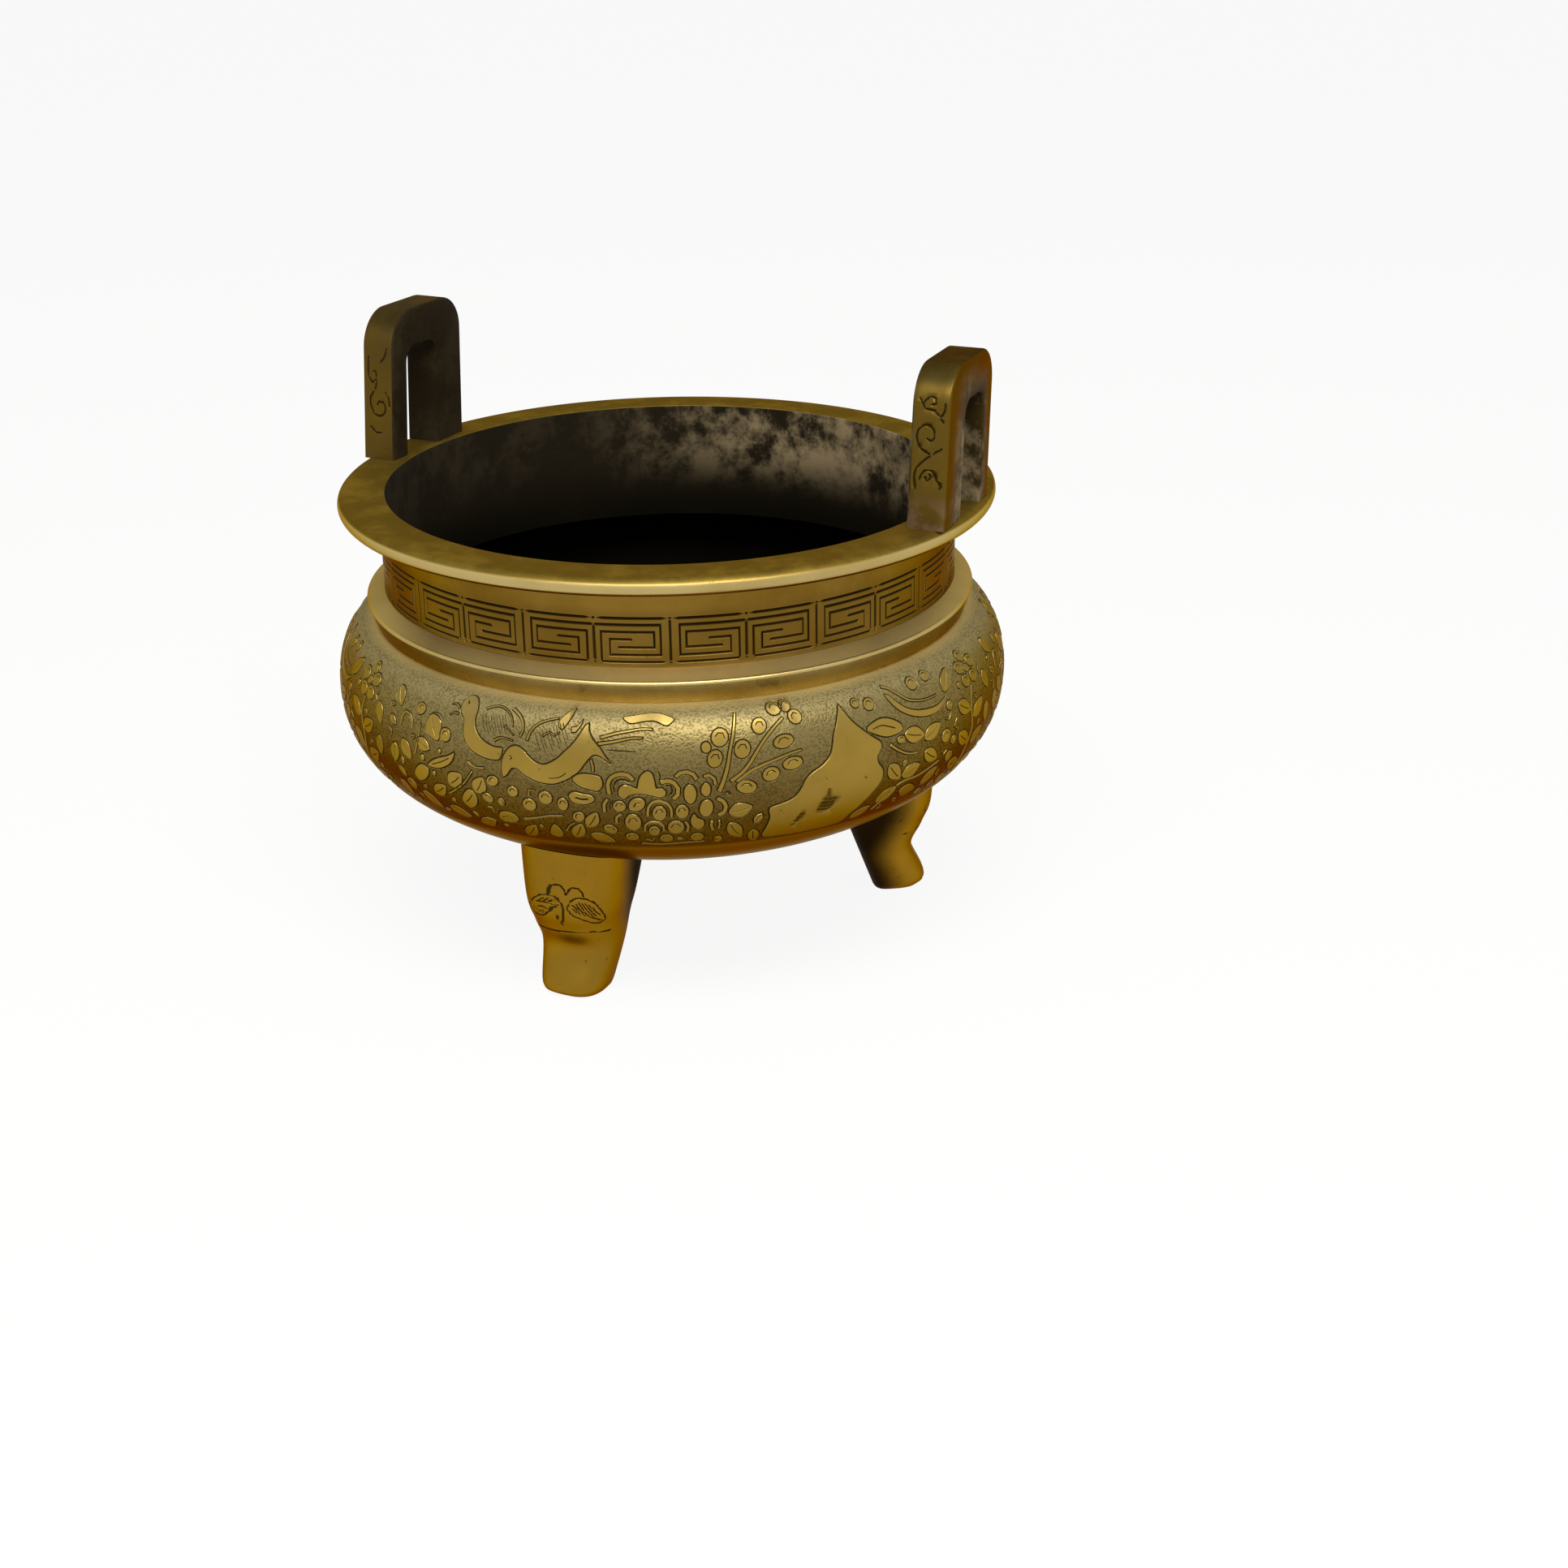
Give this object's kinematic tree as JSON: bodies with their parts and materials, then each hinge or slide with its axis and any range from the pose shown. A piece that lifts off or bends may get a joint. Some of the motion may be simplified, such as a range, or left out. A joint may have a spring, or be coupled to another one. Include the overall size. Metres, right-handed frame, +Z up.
{
  "type": "tripod incense burner",
  "caption": "Low round brass incense burner on short cabriole legs, with upright loop handles standing on its flat rim; holds ash and incense.",
  "frame": {"origin": "on the ground, at the bowl's axis, midway under the burner", "axes": "+Z up along the bowl's axis, +X through the right handle, +Y to the back"},
  "size_m": [0.2144, 0.2144, 0.1913],
  "materials": {
    "body_brass": "aged brass, engraved and punched, brown-green patina with rubbed high points",
    "handle_brass": "aged brass with sooty dark inner faces",
    "leg_brass": "aged brass, polished knees",
    "rivet_brass": "dull dark brass, hammered"
  },
  "bodies": {
    "root": {"bowl": "body_brass", "handle_right": "handle_brass", "handle_right_rivet_1": "rivet_brass", "handle_right_rivet_2": "rivet_brass", "handle_left": "handle_brass", "handle_left_rivet_1": "rivet_brass", "handle_left_rivet_2": "rivet_brass", "leg_1": "leg_brass", "leg_1_washer": "rivet_brass", "leg_1_rivet": "rivet_brass", "leg_2": "leg_brass", "leg_2_washer": "rivet_brass", "leg_2_rivet": "rivet_brass", "leg_3": "leg_brass", "leg_3_washer": "rivet_brass", "leg_3_rivet": "rivet_brass"}
  },
  "joints": []
}
